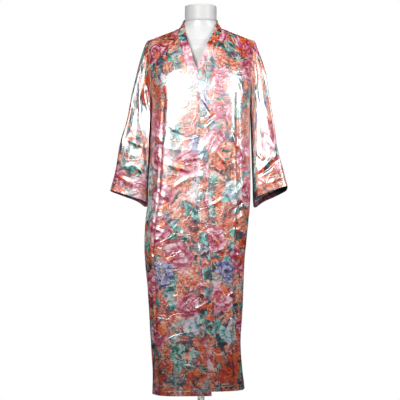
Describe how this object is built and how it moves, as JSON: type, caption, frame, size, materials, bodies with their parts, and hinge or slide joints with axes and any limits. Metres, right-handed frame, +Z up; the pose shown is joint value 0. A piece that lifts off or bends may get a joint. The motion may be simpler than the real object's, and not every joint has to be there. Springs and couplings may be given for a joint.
{
  "type": "kimono robe on a dress form",
  "caption": "Long open-front kimono robe with wide sleeves, a flat neckband and cuff bands, worn by a limbless dress form on a pole stand with a round base.",
  "frame": {"origin": "middle of the base's underside, on the floor", "axes": "+Z up, -Y towards the front, +X towards the wearer's left"},
  "size_m": [0.6398, 0.34, 1.577],
  "materials": {
    "printed_satin": "satin with a floral print",
    "band_satin": "satin, the same print",
    "form_white": "gloss white",
    "stand_white": "satin white paint"
  },
  "bodies": {
    "root": {"back": "printed_satin", "front_left": "printed_satin", "front_right": "printed_satin", "sleeve_left": "printed_satin", "sleeve_right": "printed_satin", "neckband_left": "band_satin", "neckband_right": "band_satin", "cuff_band_left": "band_satin", "cuff_band_right": "band_satin", "form_torso": "form_white", "form_neck": "form_white", "stand_pole": "stand_white", "stand_base": "stand_white"}
  },
  "joints": []
}
